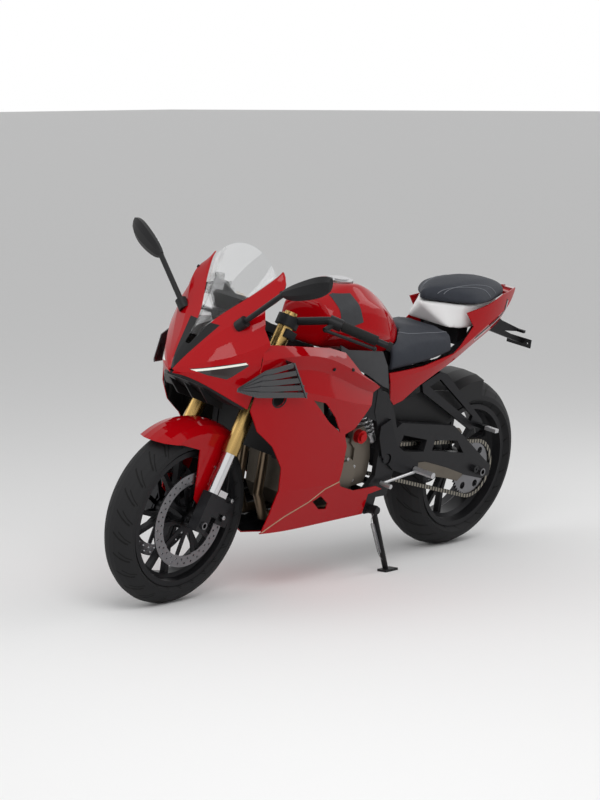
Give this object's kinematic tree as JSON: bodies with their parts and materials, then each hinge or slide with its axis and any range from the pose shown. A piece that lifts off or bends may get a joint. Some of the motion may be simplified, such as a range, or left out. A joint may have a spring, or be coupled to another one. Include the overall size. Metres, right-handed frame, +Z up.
{
  "type": "sport bike",
  "caption": "Sport bike with a full fairing, leaning on its side stand, with turning steering, wheels and stand.",
  "frame": {"origin": "on the ground, under the middle of the bike's bounding box", "axes": "+X forward, +Y to the rider's left, the side it leans to, +Z up from the ground"},
  "size_m": [2.0379, 0.8882, 1.2422],
  "materials": {
    "black_plastic": "satin black",
    "bright_alloy": "bright",
    "bronze_alloy": "bronze grey, satin",
    "carbon": "woven, gloss",
    "clear_screen": "clear",
    "dark_alloy": "dark grey, satin",
    "gold_tube": "gold anodised",
    "grip_rubber": "matte",
    "lamp_lens": "smoked",
    "red_paint": "gloss red",
    "seat_cover": "dark grey, matte",
    "steel": "brushed",
    "tail_lens": "dark red lens",
    "tyre": "matte",
    "white_paint": "gloss white"
  },
  "bodies": {
    "chassis": {"belly_pan": "red_paint", "chain": "steel", "chain_guards": "bronze_alloy", "engine": "bronze_alloy", "engine_covers": "bronze_alloy", "exhaust_headers": "bronze_alloy", "fairing_stays": "black_plastic", "filler_cap": "bright_alloy", "frame": "dark_alloy", "fuel_tank": "red_paint", "headlamps": "lamp_lens", "instrument_panel": "black_plastic", "mirrors": "black_plastic", "muffler": "steel", "nose_cowl": "red_paint", "nose_intake": "black_plastic", "passenger_pegs": "black_plastic", "pillion_seat": "seat_cover", "plate_hanger": "black_plastic", "radiator": "dark_alloy", "rear_axle": "steel", "rear_caliper": "dark_alloy", "rear_hugger": "black_plastic", "rear_shock": "bright_alloy", "rider_pegs": "bright_alloy", "rider_seat": "seat_cover", "seat_hump": "white_paint", "side_fairing_left": "red_paint", "side_fairing_right": "red_paint", "subframe": "dark_alloy", "swingarm": "dark_alloy", "tail_cowl": "red_paint", "tail_lamp": "tail_lens", "tail_stays": "black_plastic", "tank_side_covers": "dark_alloy", "windscreen": "clear_screen", "winglets": "carbon"},
    "steering": {"fork_lowers": "dark_alloy", "fork_tubes": "gold_tube", "front_axle": "steel", "front_calipers": "dark_alloy", "front_fender": "red_paint", "grips": "grip_rubber", "handlebars": "black_plastic", "triple_clamps": "dark_alloy"},
    "front_wheel": {"front_tyre": "tyre", "front_rim": "dark_alloy", "front_brake_discs": "steel"},
    "rear_wheel": {"rear_tyre": "tyre", "rear_rim": "dark_alloy", "rear_brake_disc": "steel", "rear_sprocket": "steel"},
    "side_stand": {"side_stand": "black_plastic"}
  },
  "joints": [
    {"name": "steering_turn", "type": "hinge", "parent": "chassis", "child": "steering", "pos_m": [0.81904, -0.20158, 0.00144], "axis": [-0.4195, 0.167, 0.8923], "range_deg": [-24, 24]},
    {"name": "front_wheel_spin", "type": "hinge", "parent": "steering", "child": "front_wheel", "pos_m": [0.71903, -0.14575, 0.29517], "axis": [-0.0222, 0.9808, -0.194], "continuous": true},
    {"name": "rear_wheel_spin", "type": "hinge", "parent": "chassis", "child": "rear_wheel", "pos_m": [-0.69196, -0.14363, 0.31107], "axis": [0, 0.9829, -0.184], "continuous": true},
    {"name": "side_stand_fold", "type": "hinge", "parent": "chassis", "child": "side_stand", "pos_m": [-0.05996, 0.03411, 0.22795], "axis": [0, 0.9951, -0.099], "range_deg": [0, 80]}
  ]
}
